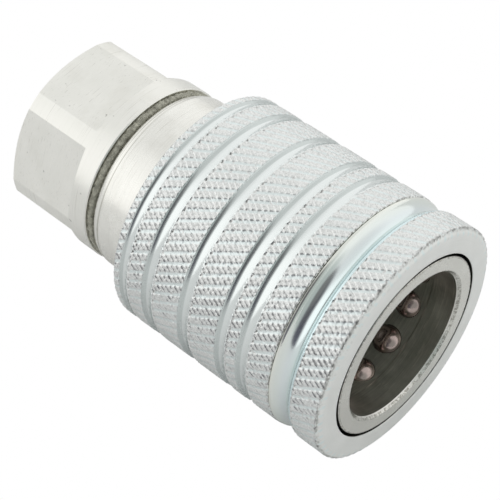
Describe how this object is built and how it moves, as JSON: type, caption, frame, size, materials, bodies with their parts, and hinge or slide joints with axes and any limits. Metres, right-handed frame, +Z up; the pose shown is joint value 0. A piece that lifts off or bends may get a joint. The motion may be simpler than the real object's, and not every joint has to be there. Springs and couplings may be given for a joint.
{
  "type": "quick disconnect coupler",
  "caption": "Female hydraulic quick disconnect coupler with a knurled grooved pull-back sleeve, ball-lock socket with a self-closing poppet, and a hexagonal rear end with a threaded port.",
  "frame": {"origin": "centre of the flat mating face at the mouth, on the coupler axis, with the sleeve at rest", "axes": "+X along the coupler axis out of the mouth towards the male half, +Z up with the coupler lying on its sleeve, +Y across"},
  "size_m": [0.0658, 0.038, 0.038],
  "materials": {
    "zinc_plated_steel": "bluish white zinc plating over a cross knurl, smooth and bright in the grooves",
    "nickel_plated_steel": "satin plated steel with a faint warm tone and fine turning marks",
    "machined_steel": "plain turned steel",
    "spring_steel": "drawn spring wire and strip",
    "ball_steel": "polished hardened bearing balls",
    "seal_rubber": "black nitrile rubber",
    "gasket_rubber": "dark olive grey rubber, rough edge",
    "ptfe_ring": "white PTFE"
  },
  "bodies": {
    "coupler_body": {"socket_body": "nickel_plated_steel", "hex_adaptor": "nickel_plated_steel", "joint_gasket": "gasket_rubber", "adaptor_oring": "seal_rubber", "socket_oring": "seal_rubber", "socket_backup_ring": "ptfe_ring", "poppet_guide": "machined_steel", "front_stop_ring": "spring_steel", "rear_stop_ring": "spring_steel", "rear_spring_washer": "machined_steel", "sleeve_spring": "spring_steel", "poppet_spring": "spring_steel"},
    "sleeve_carrier": {"front_spring_washer": "machined_steel"},
    "sleeve": {"sleeve_front_ring": "zinc_plated_steel", "sleeve_rear": "zinc_plated_steel"},
    "poppet": {"poppet": "machined_steel", "poppet_oring": "seal_rubber"},
    "locking_ball_01": {"locking_ball_01": "ball_steel"},
    "locking_ball_02": {"locking_ball_02": "ball_steel"},
    "locking_ball_03": {"locking_ball_03": "ball_steel"},
    "locking_ball_04": {"locking_ball_04": "ball_steel"},
    "locking_ball_05": {"locking_ball_05": "ball_steel"},
    "locking_ball_06": {"locking_ball_06": "ball_steel"},
    "locking_ball_07": {"locking_ball_07": "ball_steel"},
    "locking_ball_08": {"locking_ball_08": "ball_steel"},
    "locking_ball_09": {"locking_ball_09": "ball_steel"},
    "locking_ball_10": {"locking_ball_10": "ball_steel"},
    "locking_ball_11": {"locking_ball_11": "ball_steel"},
    "locking_ball_12": {"locking_ball_12": "ball_steel"}
  },
  "joints": [
    {"name": "sleeve_slide", "type": "slide", "parent": "coupler_body", "child": "sleeve_carrier", "axis": [-1, 0, 0], "range_m": [0, 0.0036], "stiffness_N_per_m": 6000, "springref_m": -0.006, "deforming": ["sleeve_spring"]},
    {"name": "sleeve_turn", "type": "hinge", "parent": "sleeve_carrier", "child": "sleeve", "pos_m": [-0.02, 0, 0], "axis": [1, 0, 0], "continuous": true},
    {"name": "poppet_slide", "type": "slide", "parent": "coupler_body", "child": "poppet", "axis": [-1, 0, 0], "range_m": [0, 0.0055], "stiffness_N_per_m": 2500, "springref_m": -0.008, "deforming": ["poppet_spring"]},
    {"name": "ball_01_slide", "type": "slide", "parent": "coupler_body", "child": "locking_ball_01", "axis": [0, 0, 1], "range_m": [0, 0.0014]},
    {"name": "ball_02_slide", "type": "slide", "parent": "coupler_body", "child": "locking_ball_02", "axis": [0, -0.5, 0.866], "range_m": [0, 0.0014]},
    {"name": "ball_03_slide", "type": "slide", "parent": "coupler_body", "child": "locking_ball_03", "axis": [0, -0.866, 0.5], "range_m": [0, 0.0014]},
    {"name": "ball_04_slide", "type": "slide", "parent": "coupler_body", "child": "locking_ball_04", "axis": [0, -1, 0], "range_m": [0, 0.0014]},
    {"name": "ball_05_slide", "type": "slide", "parent": "coupler_body", "child": "locking_ball_05", "axis": [0, -0.866, -0.5], "range_m": [0, 0.0014]},
    {"name": "ball_06_slide", "type": "slide", "parent": "coupler_body", "child": "locking_ball_06", "axis": [0, -0.5, -0.866], "range_m": [0, 0.0014]},
    {"name": "ball_07_slide", "type": "slide", "parent": "coupler_body", "child": "locking_ball_07", "axis": [0, 0, -1], "range_m": [0, 0.0014]},
    {"name": "ball_08_slide", "type": "slide", "parent": "coupler_body", "child": "locking_ball_08", "axis": [0, 0.5, -0.866], "range_m": [0, 0.0014]},
    {"name": "ball_09_slide", "type": "slide", "parent": "coupler_body", "child": "locking_ball_09", "axis": [0, 0.866, -0.5], "range_m": [0, 0.0014]},
    {"name": "ball_10_slide", "type": "slide", "parent": "coupler_body", "child": "locking_ball_10", "axis": [0, 1, 0], "range_m": [0, 0.0014]},
    {"name": "ball_11_slide", "type": "slide", "parent": "coupler_body", "child": "locking_ball_11", "axis": [0, 0.866, 0.5], "range_m": [0, 0.0014]},
    {"name": "ball_12_slide", "type": "slide", "parent": "coupler_body", "child": "locking_ball_12", "axis": [0, 0.5, 0.866], "range_m": [0, 0.0014]}
  ],
  "couplings": [
    {"joint": "ball_01_slide", "follows": "sleeve_slide", "ratio": 0.38333},
    {"joint": "ball_02_slide", "follows": "sleeve_slide", "ratio": 0.38333},
    {"joint": "ball_03_slide", "follows": "sleeve_slide", "ratio": 0.38333},
    {"joint": "ball_04_slide", "follows": "sleeve_slide", "ratio": 0.38333},
    {"joint": "ball_05_slide", "follows": "sleeve_slide", "ratio": 0.38333},
    {"joint": "ball_06_slide", "follows": "sleeve_slide", "ratio": 0.38333},
    {"joint": "ball_07_slide", "follows": "sleeve_slide", "ratio": 0.38333},
    {"joint": "ball_08_slide", "follows": "sleeve_slide", "ratio": 0.38333},
    {"joint": "ball_09_slide", "follows": "sleeve_slide", "ratio": 0.38333},
    {"joint": "ball_10_slide", "follows": "sleeve_slide", "ratio": 0.38333},
    {"joint": "ball_11_slide", "follows": "sleeve_slide", "ratio": 0.38333},
    {"joint": "ball_12_slide", "follows": "sleeve_slide", "ratio": 0.38333}
  ]
}
